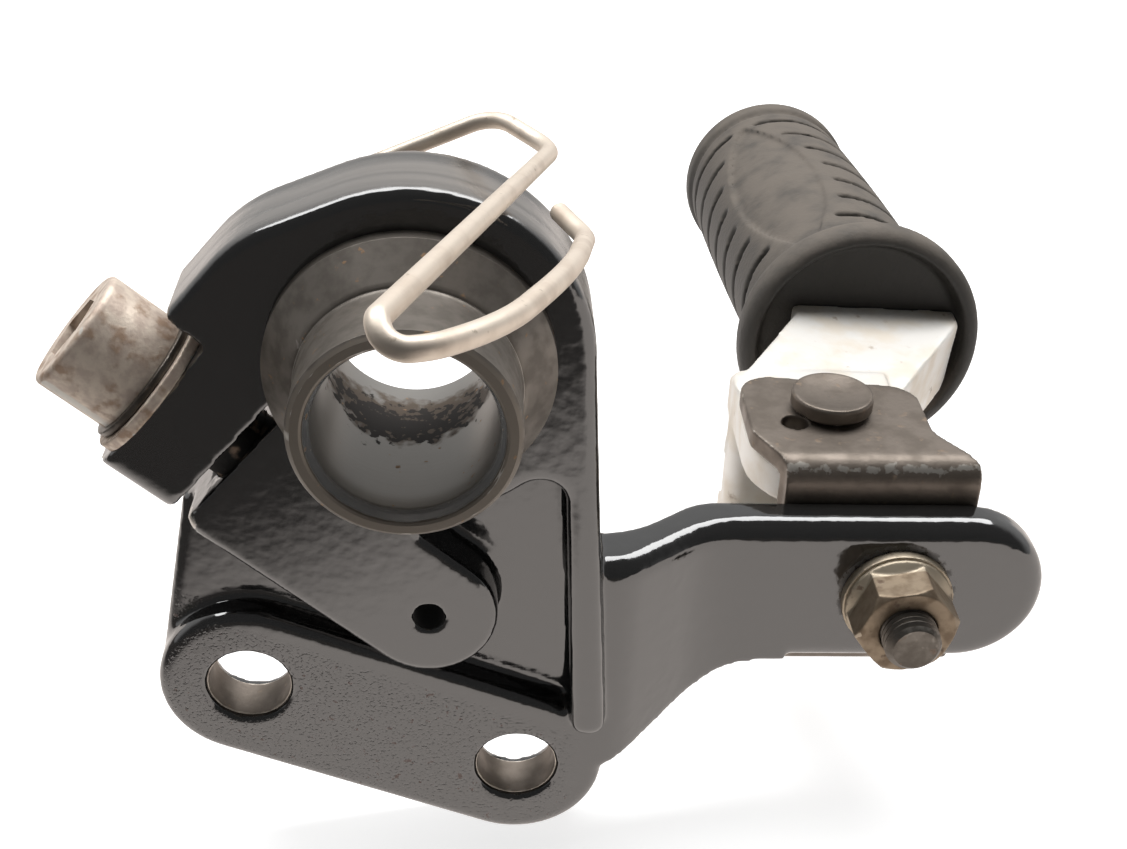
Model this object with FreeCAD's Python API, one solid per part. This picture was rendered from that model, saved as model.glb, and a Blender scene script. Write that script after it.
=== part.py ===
import FreeCAD, Part
import math
import os

# Motorcycle footrest hanger: a clamp casting with a pinch bolt and a flanged bush,
# a folding rubber footrest on a clevis at the end of its arm, and a wire guide.
# Millimetres. X right, Y away from the front face of the clamp ring, Z up.
# The origin is on the bush axis at the front face of the clamp ring.

V = FreeCAD.Vector
ALONG_Y = V(0, 1, 0)
UP = V(0, 0, 1)

# Clamp ring and its split jaws
ring_radius = 22.6
ring_depth = 13.5
clamp_bore_radius = 15.5
ring_edge_round = 1.5
pinch_angle = 40.2          # slope of the pinch bolt below level, degrees
pinch_offset = 26.0         # bush axis to pinch bolt axis
seat_position = -19.8       # bolt head seat, along the bolt axis from the bush axis
slit_position = -8.2        # middle of the split, along the bolt axis
slit_width = 2.2
lip_reach = 26.0            # how far the lip stands out beside the bolt head
lip_start = -10.3           # where the lip leaves the ring, across the bolt axis
lip_round = 20.0
lip_height = 14.4           # lip edge, across the bolt axis
jaw_reach = 37.1            # outer side of both jaws, across the bolt axis
jaw_edge_round = 3.5

# Tongue that carries the thread of the pinch bolt
tongue_eye_along = 26.2
tongue_eye_across = 27.9
tongue_corner_radius = 4.0
tongue_edge_round = 1.0
tongue_hole_radius = 2.05
thread_depth = 23.0         # from the split into the tongue
thread_tip_gap = 1.0        # free thread beyond the bolt's end
thread_boss_length = 26.0   # full-depth part of the tongue behind the thread

# Plate with two mounting holes in a raised pad
floor_front = 7.0
plate_back = 11.5
pad_front = 3.0
pad_radius = 12.4
pad_edge_round = 1.6
first_hole_x = -22.9
first_hole_z = -52.6
hole_pitch = 40.0
hole_row_angle = 21.6       # slope of the hole row below level, degrees
mount_hole_radius = 5.75
mount_hole_chamfer = 0.5
plate_edge_round = 1.4

# Rib down the right side
rib_width = 4.8
rib_top_x = 21.0
rib_foot_x = 24.2
rib_foot_z = -56.8
rib_edge_round = 1.5
rib_foot_round = 1.9
notch_radius = 3.5          # round between the ring and the rib, at the top of the hollow

# Cranked arm
arm_height = 24.0
arm_thickness = 6.3
arm_face = 13.0             # front face of the outer part of the arm
arm_level = -43.9           # height of the arm's middle line
arm_end_x = 90.4
arm_crank_start = 28.5
arm_crank_end = 41.5
arm_crank_radius = 8.0
arm_edge_round = 3.0        # front edges
arm_back_round = 0.6
arm_flare_start_x = 46.5
arm_flare_radius = 14.0

# Bush
bush_flange_radius = 17.7
bush_flange_edge = 2.0
bush_cone_length = 4.4
bush_cone_radius = 15.1
bush_neck_radius = 14.4
bush_front = -15.5
bush_back = 14.0
bush_bore_radius = 10.7
bush_rim_chamfer = 0.9
bush_fit = 0.05

# Pinch bolt and its washers, M10 socket cap screw
pinch_shank_radius = 5.0
pinch_head_radius = 8.0
pinch_head_height = 10.0
pinch_head_round = 0.8
socket_flats = 8.0
socket_depth = 5.0
pinch_hole_play = 0.3
pinch_thread_play = 0.05
flat_washer_radius = 10.0
flat_washer_thickness = 1.5
lock_washer_radius = 9.0
lock_washer_thickness = 1.0
lock_washer_gap = 1.6
washer_play = 0.25

# Wire guide
wire_diameter = 2.1
wire_hole_depth = 5.0
wire_play = 0.05

# Clevis, a folded channel on the back of the arm
sheet = 3.0
clevis_half_height = 18.1
clevis_left_x = 52.0
clevis_width = 28.2
ear_left_shift = -4.0       # sideways set of the ears' left edge against the web
ear_right_shift = -5.2
ear_flare = 9.5             # web face to where the ears have shifted fully
ear_flare_round = 5.0
ear_reach = 26.3            # web face to the far left corner
ear_right_cut = 3.4         # how much shorter the right corner is
ear_corner_radius = 5.0
bend_radius = 0.7           # inside radius of the folds
fold_bevel = 1.2            # bevel of the lugs that clears those folds

# Clevis bolt, washer and flange nut, M8
clevis_bolt_x = 68.4
clevis_bolt_radius = 4.0
clevis_bolt_flats = 13.0
clevis_bolt_head = 5.3
clevis_bolt_tail = 12.0     # end of the bolt in front of the arm face
clevis_bolt_chamfer = 0.7
clevis_hole_play = 0.25
thread_play = 0.03
nut_washer_radius = 8.0
nut_washer_thickness = 1.6
nut_flats = 13.0
nut_height = 6.9
nut_flange_radius = 7.7
nut_flange_height = 0.6
nut_cone_height = 1.3
nut_turn = -10.0             # turn of the nut on its bolt, degrees

# Pivot pin, its washer and its split pin
pin_x = 60.8
pin_y = 35.0
pin_radius = 4.0
pin_running_fit = 0.06
pin_head_radius = 6.1
pin_head_height = 2.4
pin_head_chamfer = 0.5
pin_shoulder = 0.7
pin_shoulder_radius = 5.0
pin_tail = 5.6
pin_end_chamfer = 0.7
pin_washer_radius = 6.6
pin_washer_thickness = 1.2
split_pin_radius = 0.95
split_pin_drop = 2.2        # split pin axis below the pin washer
split_pin_reach = 4.2       # spread of each leg
split_pin_leg = 2.5         # length of each leg beyond the pin
split_pin_leg_radius = 0.66
split_pin_eye_radius = 1.5
split_pin_eye_wire = 0.76

# Footrest base
lug_clearance = 0.3
lug_thickness = 7.0
eye_radius = 12.4
stop_clearance = 0.15
stop_corner_round = 1.5
base_wall_front = 45.0
base_wall_back = 53.0
block_height = 13.5
block_left = 12.3            # left and right sides of the block from the footrest axis
block_right = 16.2
block_roll = 3.0            # fall of the block's top toward the right, degrees
block_pitch = 3.5           # rise of the block's top toward the rubber, degrees
wall_corner_round = 3.0

# Footrest axis and rubber
peg_x = 74.0
peg_z = -34.4
peg_start = 71.5
peg_droop = 3.3             # fall of the footrest toward its far end, degrees
peg_swing = 2.3             # turn of the footrest toward the left, degrees
spigot_radius = 5.0
spigot_root = 3.0           # length of the spigot inside the block
spigot_length = 70.0
spigot_ridge = 1.0
spigot_ridge_position = 58.0
spigot_fit = 0.1
rubber_length = 88.0
rubber_radius_near = 16.7
rubber_radius_middle = 17.6
rubber_radius_far = 16.9
barrel_round = 1200.0        # long round at the middle of the barrel
near_flange_radius = 21.0
near_flange_length = 5.6
near_flange_round = 2.4
dish_radius = 17.2          # shallow dish in the near face, where the block enters
dish_depth = 3.5
dish_slope = 1.2
block_end_clearance = 0.1
far_flange_radius = 17.4
far_flange_length = 6.0
far_neck_radius = 16.2
far_neck_length = 1.8
far_flange_round = 2.4
flange_root_round = 1.2
groove_count = 8
groove_width = 1.6
groove_depth = 1.6
groove_end_margin = 4.5
panel_turn = 29.0           # turn of the top panel toward the left, degrees
panel_half_width = 10.2
panel_recess = 0.8
panel_border = 1.9
panel_end_margin = 3.5

# Detent
detent_x = 54.9
detent_y = 31.2
detent_hole_radius = 2.0
ball_radius = 2.4
ball_clearance = 0.2
pocket_play = 0.15
detent_wire = 0.5
detent_spring_radius = 1.9
detent_turns = 2
pocket_floor = 1.0          # metal left under the detent pocket

# Places that follow from the sizes above
pinch_slope = math.radians(pinch_angle)
pinch_level = ring_depth / 2.0
row_slope = math.radians(hole_row_angle)
second_hole_x = first_hole_x + hole_pitch * math.cos(row_slope)
second_hole_z = first_hole_z - hole_pitch * math.sin(row_slope)
arm_top = arm_level + arm_height / 2.0
arm_bottom = arm_level - arm_height / 2.0
arm_back = arm_face + arm_thickness
ear_top = arm_level + clevis_half_height
ear_bottom = arm_level - clevis_half_height
web_inside = arm_back + sheet
lug_top = ear_top - sheet - lug_clearance
lug_foot = ear_bottom + sheet + lug_clearance
head_seat = seat_position - flat_washer_thickness - lock_washer_thickness
pin_foot = ear_bottom - pin_washer_thickness
tongue_eye_radius = jaw_reach - tongue_eye_across
outer_fold = bend_radius + sheet
barrel_far = rubber_length - far_flange_length - far_neck_length
barrel_middle = (near_flange_length + barrel_far) / 2.0


def pinch(along, across):
    """Point of the clamp plane from its place along and across the pinch bolt."""
    x = along * math.cos(pinch_slope) - across * math.sin(pinch_slope)
    z = -along * math.sin(pinch_slope) - across * math.cos(pinch_slope)
    return (x, z)


def pinch_axis():
    return V(math.cos(pinch_slope), 0, -math.sin(pinch_slope))


def pinch_point(along, across=pinch_offset, y=None):
    x, z = pinch(along, across)
    return V(x, pinch_level if y is None else y, z)


def rounded_wire(corners, place):
    """Closed wire through corners given as (u, v) or (u, v, radius)."""
    count = len(corners)
    cuts = []
    for i in range(count):
        here = V(corners[i][0], corners[i][1], 0)
        radius = corners[i][2] if len(corners[i]) > 2 else 0.0
        before = V(corners[i - 1][0], corners[i - 1][1], 0) - here
        after = V(corners[(i + 1) % count][0], corners[(i + 1) % count][1], 0) - here
        if radius <= 0:
            cuts.append((here, None, here))
            continue
        half = before.getAngle(after) / 2.0
        reach = radius / math.tan(half)
        before.normalize()
        after.normalize()
        middle = before + after
        middle.normalize()
        crown = here + middle * (radius / math.sin(half) - radius)
        cuts.append((here + before * reach, crown, here + after * reach))
    edges = []
    for i in range(count):
        start, crown, end = cuts[i]
        following = cuts[(i + 1) % count][0]
        if crown is not None:
            edges.append(Part.Arc(place(start), place(crown), place(end)).toShape())
        if end.distanceToPoint(following) > 1e-6:
            edges.append(Part.LineSegment(place(end), place(following)).toShape())
    return Part.Wire(edges)


def front_prism(corners, y0, y1):
    """Solid from an outline seen from the front, between two depths."""
    wire = rounded_wire(corners, lambda p: V(p.x, y0, p.y))
    return Part.Face(wire).extrude(V(0, y1 - y0, 0))


def plan_prism(corners, z0, z1):
    """Solid from an outline seen from above, between two heights."""
    wire = rounded_wire(corners, lambda p: V(p.x, p.y, z0))
    return Part.Face(wire).extrude(V(0, 0, z1 - z0))


def side_prism(corners, x0, x1):
    """Solid from an outline in y and z, between two x places."""
    wire = rounded_wire(corners, lambda p: V(x0, p.x, p.y))
    return Part.Face(wire).extrude(V(x1 - x0, 0, 0))


def cylinder(radius, start, end):
    return Part.makeCylinder(radius, (end - start).Length, start, end - start)


def y_rod(radius, x, z, y0, y1):
    return cylinder(radius, V(x, y0, z), V(x, y1, z))


def z_rod(radius, x, y, z0, z1):
    return cylinder(radius, V(x, y, z0), V(x, y, z1))


def turned(profile, origin, axis_is_z=False):
    """Body of revolution from (radius, height) corners about Y or Z."""
    if axis_is_z:
        points = [origin + V(r, 0, h) for r, h in profile]
        axis = UP
    else:
        points = [origin + V(r, h, 0) for r, h in profile]
        axis = ALONG_Y
    points.append(points[0])
    return Part.Face(Part.makePolygon(points)).revolve(origin, axis, 360)


def hexagon(flats, start, end, turn=0.0):
    """Six-sided bar between two points."""
    axis = (end - start).normalize()
    side = axis.cross(V(0, 1, 0)) if abs(axis.y) < 0.9 else V(1, 0, 0)
    side.normalize()
    other = axis.cross(side)
    corner = flats / math.sqrt(3.0)
    points = []
    for i in range(7):
        angle = math.radians(60 * i + turn)
        points.append(start + side * (corner * math.cos(angle)) + other * (corner * math.sin(angle)))
    return Part.Face(Part.makePolygon(points)).extrude(end - start)


def flat_edges(shape, y, keep=None):
    """Edges that lie at one depth y."""
    found = []
    for edge in shape.Edges:
        box = edge.BoundBox
        if abs(box.YMin - y) < 1e-4 and abs(box.YMax - y) < 1e-4:
            if keep is None or keep(edge):
                found.append(edge)
    return found


def clamp_body():
    """Ring with the lip that shields the bolt head, and the upper jaw under the head."""
    disc = Part.makeCylinder(ring_radius, ring_depth, V(0, 0, 0), ALONG_Y)
    touch = math.sqrt(ring_radius ** 2 - lip_start ** 2)
    bend = lip_start - (lip_reach - touch) * touch / lip_start
    outline = [pinch(-touch, lip_start), pinch(-lip_reach, bend) + (lip_round,),
               pinch(-lip_reach, lip_height), pinch(slit_position, lip_height), pinch(0, 0)]
    body = disc.fuse(front_prism(outline, 0, ring_depth)).removeSplitter()
    round_edges = flat_edges(body, 0, rounded_part) + flat_edges(body, ring_depth, rounded_part)
    body = body.makeFillet(ring_edge_round, round_edges)
    across = V(-math.sin(pinch_slope), 0, -math.cos(pinch_slope))
    inner = pinch_point(seat_position, 0, 0)
    section = rounded_wire([(0, 0), (jaw_reach, 0, jaw_edge_round), (jaw_reach, ring_depth, jaw_edge_round),
                            (0, ring_depth)], lambda p: inner + across * p.x + ALONG_Y * p.y)
    jaw = Part.Face(section).extrude(pinch_axis() * (slit_position - seat_position))
    return body.fuse(jaw)


def rounded_part(edge):
    """True for the outer edges of ring and lip, not for the lip's cut end."""
    middle = edge.CenterOfMass
    across = -middle.x * math.sin(pinch_slope) - middle.z * math.cos(pinch_slope)
    along = middle.x * math.cos(pinch_slope) - middle.z * math.sin(pinch_slope)
    return across < lip_height - 0.1 or along > seat_position


def tongue():
    """Lower jaw and the rounded tongue that stands on the plate."""
    eye_top = tongue_eye_across - tongue_eye_radius
    outline = [pinch(slit_position, 0), pinch(slit_position, jaw_reach),
               pinch(tongue_eye_along + tongue_eye_radius, jaw_reach) + (tongue_eye_radius,),
               pinch(tongue_eye_along + tongue_eye_radius, eye_top) + (tongue_eye_radius,),
               pinch(tongue_eye_along - tongue_eye_radius, eye_top), pinch(0, 0)]
    outline[1] = outline[1] + (tongue_corner_radius,)
    front = front_prism(outline, 0, plate_back)
    front = front.makeFillet(tongue_edge_round, flat_edges(front, 0))
    boss_end = slit_position + thread_boss_length
    boss = [pinch(slit_position, 0), pinch(slit_position, jaw_reach) + (tongue_corner_radius,),
            pinch(boss_end, jaw_reach), pinch(boss_end, 0)]
    back = front_prism(boss, floor_front, ring_depth)
    back = back.makeFillet(tongue_edge_round, flat_edges(back, ring_depth))
    return front.fuse(back)


def stadium(radius, y0, y1):
    """Long round outline about the two mounting holes."""
    ux, uz = math.cos(row_slope), -math.sin(row_slope)
    nx, nz = uz, -ux
    corners = []
    for x, z, along, across in ((first_hole_x, first_hole_z, -radius, -radius),
                                (first_hole_x, first_hole_z, -radius, radius),
                                (second_hole_x, second_hole_z, radius, radius),
                                (second_hole_x, second_hole_z, radius, -radius)):
        corners.append((x + ux * along + nx * across, z + uz * along + nz * across, radius))
    return front_prism(corners, y0, y1)


def pad():
    body = stadium(pad_radius, pad_front, plate_back)
    return body.makeFillet(pad_edge_round, flat_edges(body, pad_front) + flat_edges(body, plate_back))


def plate():
    """Thin floor between the ring, the tongue, the rib and the pad."""
    right = rib_foot_x + rib_width / 2.0
    corner = pinch(slit_position, jaw_reach)
    span = math.hypot(first_hole_x - corner[0], first_hole_z - corner[1])
    heading = math.atan2(first_hole_z - corner[1], first_hole_x - corner[0]) - math.asin(pad_radius / span)
    tangent = math.sqrt(span ** 2 - pad_radius ** 2)
    outline = [corner, (corner[0] + tangent * math.cos(heading), corner[1] + tangent * math.sin(heading)),
               (first_hole_x, first_hole_z), (second_hole_x, second_hole_z),
               (second_hole_x + pad_radius, second_hole_z), (right, rib_foot_z),
               (rib_top_x, 0), (0, 0), pinch(slit_position, 0)]
    body = front_prism(outline, floor_front, plate_back)
    return body.makeFillet(plate_edge_round, flat_edges(body, floor_front) + flat_edges(body, plate_back))


def rib():
    half = rib_width / 2.0
    foot = rib_foot_z - half
    outline = [(rib_top_x - half, 0), (rib_foot_x - half, foot, rib_foot_round),
               (rib_foot_x + half, foot, rib_foot_round), (ring_radius, 0)]
    body = front_prism(outline, 0, plate_back)
    return body.makeFillet(rib_edge_round, flat_edges(body, 0))


def notch_web():
    """Metal that rounds the sharp corner between the ring and the rib, flush with their front faces."""
    half = rib_width / 2.0
    start = V(rib_top_x - half, 0, 0)
    along = (V(rib_foot_x - half, 0, rib_foot_z - half) - start).normalize()
    left = V(along.z, 0, -along.x)
    base = start + left * notch_radius
    fall = base.dot(along)
    reach = ring_radius + notch_radius
    centre = base + along * (math.sqrt(fall ** 2 - base.dot(base) + reach ** 2) - fall)
    inside = 2.0 * ring_edge_round
    on_ring = V(centre.x, 0, centre.z).normalize() * (ring_radius - inside)
    on_rib = centre - left * (notch_radius + inside)
    top = start - left * inside
    outline = [(on_ring.x, on_ring.z), (centre.x, centre.z), (on_rib.x, on_rib.z), (top.x, top.z)]
    body = front_prism(outline, 0, plate_back)
    body = body.cut(y_rod(notch_radius, centre.x, centre.z, 0, plate_back))
    arcs = [edge for edge in flat_edges(body, 0) if isinstance(edge.Curve, Part.Circle)]
    return body.makeFillet(ring_edge_round, arcs)


def arm_band(z0, z1):
    """Plan of the cranked arm as an upright slab, from inside the rib to the arm's end."""
    crank = math.atan2(arm_face - pad_front, arm_crank_end - arm_crank_start)
    back_end = arm_crank_end - arm_thickness * math.tan(crank / 2.0)
    back_start = back_end - (arm_back - plate_back) / math.tan(crank)
    root = arm_root()
    band = [(root, pad_front), (arm_crank_start, pad_front, arm_crank_radius),
            (arm_crank_end, arm_face, arm_crank_radius + arm_thickness), (arm_end_x, arm_face),
            (arm_end_x, arm_back), (back_end, arm_back, arm_crank_radius),
            (back_start, plate_back, arm_crank_radius + arm_thickness), (root, plate_back)]
    return plan_prism(band, z0, z1)


def arm_root():
    return rib_foot_x - rib_width / 3.0


def arm():
    """Flat arm that cranks away from the plate and ends in a half round."""
    half = arm_height / 2.0
    root = arm_root()
    outline = [(root, arm_top), (arm_end_x, arm_top, half), (arm_end_x, arm_bottom, half),
               (root, arm_bottom)]
    body = arm_band(arm_bottom, arm_top).common(front_prism(outline, 0, arm_back))
    body = body.removeSplitter()
    body = body.makeFillet(arm_edge_round, arm_edges(body, True))
    return body.makeFillet(arm_back_round, arm_edges(body, False))


def arm_edges(body, front):
    """Long edges of the arm on its front or its back, without those across it or at its root."""
    crank = (arm_face - pad_front) / (arm_crank_end - arm_crank_start)
    found = []
    for edge in body.Edges:
        box = edge.BoundBox
        upright = box.XLength < 1e-3 and box.YLength < 1e-3
        across = box.ZLength < 1e-3 and box.XLength < 1e-3
        if upright or across or box.XMax < arm_root() + 1e-3:
            continue
        middle = edge.valueAt((edge.FirstParameter + edge.LastParameter) / 2.0)
        share = min(max(middle.x, arm_crank_start), arm_crank_end) - arm_crank_start
        front_face = pad_front + crank * share
        on_front = middle.y < front_face + arm_thickness / 4.0
        on_back = middle.y > front_face + arm_thickness * 0.8
        if (front and on_front) or (not front and on_back):
            found.append(edge)
    return found


def arm_gusset():
    """Flare that carries the lower edge of the arm down to the pad."""
    root = arm_root()
    upper = arm_bottom + 2.0 * arm_edge_round
    right = arm_flare_start_x + arm_flare_radius / 2.0
    outline = [(root, upper), (right, upper), (right, arm_bottom),
               (arm_flare_start_x, arm_bottom, arm_flare_radius),
               (second_hole_x + pad_radius, second_hole_z), (root, second_hole_z)]
    return arm_band(second_hole_z - pad_radius, upper).common(front_prism(outline, 0, arm_back))


def hanger_casting():
    """One painted casting: clamp ring, jaws, tongue, plate, rib and arm."""
    body = clamp_body()
    for piece in (tongue(), plate(), pad(), rib(), notch_web(), arm(), arm_gusset()):
        body = body.fuse(piece)
    cuts = [Part.makeCylinder(clamp_bore_radius, ring_depth, V(0, 0, 0), ALONG_Y)]
    half = slit_width / 2.0
    outside = jaw_reach + 1.0
    slit = [pinch(slit_position - half, 0), pinch(slit_position - half, outside),
            pinch(slit_position + half, outside), pinch(slit_position + half, 0)]
    cuts.append(front_prism(slit, 0, ring_depth))
    cuts.append(cylinder(pinch_shank_radius + pinch_hole_play, pinch_point(seat_position),
                         pinch_point(slit_position)))
    cuts.append(cylinder(pinch_shank_radius + pinch_thread_play, pinch_point(slit_position),
                         pinch_point(slit_position + half + thread_depth)))
    eye_x, eye_z = pinch(tongue_eye_along, tongue_eye_across)
    cuts.append(y_rod(tongue_hole_radius, eye_x, eye_z, 0, plate_back))
    for x, z in ((first_hole_x, first_hole_z), (second_hole_x, second_hole_z)):
        cuts.append(y_rod(mount_hole_radius, x, z, 0, plate_back))
        wide = mount_hole_radius + mount_hole_chamfer
        deep = pad_front + mount_hole_chamfer
        cuts.append(turned([(0, pad_front), (wide, pad_front), (mount_hole_radius, deep), (0, deep)],
                           V(x, 0, z)))
    cuts.append(y_rod(clevis_bolt_radius + clevis_hole_play, clevis_bolt_x, arm_level, arm_face, arm_back))
    root = wire_points()[0]
    cuts.append(y_rod(wire_diameter / 2.0 + wire_play, root.x, root.z, root.y, ring_depth))
    for piece in cuts:
        body = body.cut(piece)
    return body


def bush():
    fit_radius = clamp_bore_radius - bush_fit
    cone_front = -bush_flange_edge - bush_cone_length
    chamfer = bush_rim_chamfer
    profile = [(bush_bore_radius, bush_front + chamfer), (bush_bore_radius + chamfer, bush_front),
               (bush_neck_radius - chamfer, bush_front), (bush_neck_radius, bush_front + chamfer),
               (bush_neck_radius, cone_front), (bush_cone_radius, cone_front),
               (bush_flange_radius, -bush_flange_edge), (bush_flange_radius, 0), (fit_radius, 0),
               (fit_radius, bush_back - chamfer), (fit_radius - chamfer, bush_back),
               (bush_bore_radius + chamfer, bush_back), (bush_bore_radius, bush_back - chamfer)]
    return turned(profile, V(0, 0, 0))


def pinch_bolt():
    under = pinch_point(head_seat)
    top = pinch_point(head_seat - pinch_head_height)
    head = cylinder(pinch_head_radius, top, under)
    rim = [edge for edge in head.Edges if edge.Length > pinch_head_radius * 6 and
           abs((edge.CenterOfMass - top).dot(pinch_axis())) < 0.01]
    head = head.makeFillet(pinch_head_round, rim)
    head = head.cut(hexagon(socket_flats, top, top + pinch_axis() * socket_depth))
    tip = pinch_point(slit_position + slit_width / 2.0 + thread_depth - thread_tip_gap)
    return head.fuse(cylinder(pinch_shank_radius, under, tip)).removeSplitter()


def ring_washer(outer, inner, start, end):
    return cylinder(outer, start, end).cut(cylinder(inner, start, end))


def pinch_flat_washer():
    start = pinch_point(seat_position - flat_washer_thickness)
    end = pinch_point(seat_position)
    return ring_washer(flat_washer_radius, pinch_shank_radius + washer_play, start, end)


def pinch_lock_washer():
    """Split spring washer, its gap toward the back."""
    start = pinch_point(head_seat)
    end = pinch_point(head_seat + lock_washer_thickness)
    body = ring_washer(lock_washer_radius, pinch_shank_radius + washer_play, start, end)
    half = lock_washer_gap / 2.0
    gap = [pinch(head_seat, pinch_offset - half), pinch(head_seat, pinch_offset + half),
           pinch(head_seat + lock_washer_thickness, pinch_offset + half),
           pinch(head_seat + lock_washer_thickness, pinch_offset - half)]
    return body.cut(front_prism(gap, pinch_level, pinch_level + lock_washer_radius))


def wire_points():
    """Corners of the bent wire, from its root in the casting to its free end."""
    root = V(-8.5, ring_depth - wire_hole_depth, 16.6)
    return [root, V(-8.5, 19.5, 16.6), V(9.8, 18.0, 25.2), V(16.6, 8.9, 24.3),
            V(-0.6, -63.8, 38.2), V(1.0, -65.2, 36.3), V(8.9, -57.7, 35.0), V(16.8, -38.0, 31.6),
            V(20.0, -18.5, 25.5), V(16.8, -11.6, 25.2)]


def wire_guide():
    points = wire_points()
    bends = [3.0, 4.5, 4.0, 1.7, 1.7, 10.0, 15.0, 3.0]
    edges = []
    last = points[0]
    for i, radius in enumerate(bends):
        here = points[i + 1]
        before = (points[i] - here).normalize()
        after = (points[i + 2] - here).normalize()
        half = before.getAngle(after) / 2.0
        reach = radius / math.tan(half)
        middle = (before + after).normalize()
        crown = here + middle * (radius / math.sin(half) - radius)
        start = here + before * reach
        end = here + after * reach
        edges.append(Part.LineSegment(last, start).toShape())
        edges.append(Part.Arc(start, crown, end).toShape())
        last = end
    edges.append(Part.LineSegment(last, points[-1]).toShape())
    path = Part.Wire(edges)
    circle = Part.Wire([Part.Circle(points[0], points[1] - points[0], wire_diameter / 2.0).toShape()])
    return path.makePipeShell([circle], True, True)


def clevis():
    """Folded channel: a web on the arm and an ear above and below the footrest base."""
    far = arm_back + ear_reach
    channel = side_prism([(arm_back, ear_top, outer_fold), (arm_back, ear_bottom, outer_fold),
                          (far, ear_bottom), (far, ear_bottom + sheet),
                          (web_inside, ear_bottom + sheet, bend_radius),
                          (web_inside, ear_top - sheet, bend_radius),
                          (far, ear_top - sheet), (far, ear_top)],
                         clevis_left_x - clevis_width, clevis_left_x + 2 * clevis_width)
    right = clevis_left_x + clevis_width
    shape = [(clevis_left_x, arm_back), (right, arm_back), (right, arm_back + sheet / 2.0),
             (right + ear_right_shift, arm_back + ear_flare, ear_flare_round),
             (right + ear_right_shift, far - ear_right_cut, ear_corner_radius),
             (clevis_left_x + ear_left_shift, far, ear_corner_radius),
             (clevis_left_x + ear_left_shift, arm_back + ear_flare, ear_flare_round),
             (clevis_left_x, arm_back + sheet / 2.0)]
    body = channel.common(plan_prism(shape, ear_bottom, ear_top))
    bolt_hole = clevis_bolt_radius + clevis_hole_play
    body = body.cut(y_rod(bolt_hole, clevis_bolt_x, arm_level, arm_back, web_inside))
    body = body.cut(z_rod(pin_radius + pin_running_fit, pin_x, pin_y, ear_bottom, ear_top))
    return body.cut(z_rod(detent_hole_radius, detent_x, detent_y, ear_top - sheet, ear_top))


def clevis_bolt():
    tail = arm_face - clevis_bolt_tail
    chamfer = clevis_bolt_chamfer
    end = web_inside + clevis_bolt_head
    shank = turned([(0, tail), (clevis_bolt_radius - chamfer, tail), (clevis_bolt_radius, tail + chamfer),
                    (clevis_bolt_radius, end), (0, end)], V(clevis_bolt_x, 0, arm_level))
    head = hexagon(clevis_bolt_flats, V(clevis_bolt_x, web_inside, arm_level),
                   V(clevis_bolt_x, end, arm_level))
    return shank.fuse(head).removeSplitter()


def nut_washer():
    start = V(clevis_bolt_x, arm_face - nut_washer_thickness, arm_level)
    end = V(clevis_bolt_x, arm_face, arm_level)
    return ring_washer(nut_washer_radius, clevis_bolt_radius + washer_play, start, end)


def flange_nut():
    """Hexagon nut with a coned flange, its front corners turned off."""
    seat = arm_face - nut_washer_thickness
    front = seat - nut_height
    place = V(clevis_bolt_x, 0, arm_level)
    corner = nut_flats / math.sqrt(3.0)
    bar = hexagon(nut_flats, V(clevis_bolt_x, front, arm_level), V(clevis_bolt_x, seat, arm_level),
                  nut_turn)
    half = nut_flats / 2.0
    crown = turned([(0, front), (half, front), (corner, front + corner - half), (corner, seat),
                    (0, seat)], place)
    rim = seat - nut_flange_height
    shoulder = rim - nut_cone_height
    flange = turned([(0, seat), (nut_flange_radius, seat), (nut_flange_radius, rim), (half, shoulder),
                     (0, shoulder)], place)
    body = bar.common(crown).fuse(flange).removeSplitter()
    return body.cut(y_rod(clevis_bolt_radius + thread_play, clevis_bolt_x, arm_level, front, seat))


def pivot_pin():
    under = ear_top + pin_shoulder
    top = under + pin_head_height
    foot = pin_foot - pin_tail
    edge = pin_head_chamfer
    chamfer = pin_end_chamfer
    profile = [(0, top), (pin_head_radius - edge, top), (pin_head_radius, top - edge),
               (pin_head_radius, under), (pin_shoulder_radius, under), (pin_shoulder_radius, ear_top),
               (pin_radius, ear_top),
               (pin_radius, foot + chamfer), (pin_radius - chamfer, foot), (0, foot)]
    body = turned(profile, V(pin_x, pin_y, 0), axis_is_z=True)
    level = pin_foot - split_pin_drop
    hole = cylinder(split_pin_radius + thread_play, V(pin_x - pin_radius, pin_y, level),
                    V(pin_x + pin_radius, pin_y, level))
    return body.cut(hole)


def pin_washer():
    return ring_washer(pin_washer_radius, pin_radius + washer_play, V(pin_x, pin_y, pin_foot),
                       V(pin_x, pin_y, ear_bottom))


def split_pin():
    """Split pin through the pivot pin: an eye on one side, two spread legs on the other."""
    level = pin_foot - split_pin_drop
    left = pin_x - pin_radius - split_pin_radius
    bend = V(pin_x + pin_radius + split_pin_radius / 2.0, pin_y, level)
    rod = cylinder(split_pin_radius, V(left, pin_y, level), bend + V(split_pin_radius / 2.0, 0, 0))
    ring_centre = V(left - split_pin_eye_radius, pin_y, level)
    body = rod.fuse(Part.makeTorus(split_pin_eye_radius, split_pin_eye_wire, ring_centre, UP))
    for side in (1, -1):
        tip = bend + V(split_pin_leg, side * split_pin_reach, 0)
        body = body.fuse(cylinder(split_pin_leg_radius, bend, tip))
    return body.removeSplitter()


def lean(shape):
    """Bring what is modelled along Y to the true direction of the footrest axis."""
    shape.rotate(V(peg_x, peg_start, peg_z), V(1, 0, 0), -peg_droop)
    shape.rotate(V(peg_x, peg_start, peg_z), UP, peg_swing)
    return shape


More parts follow.
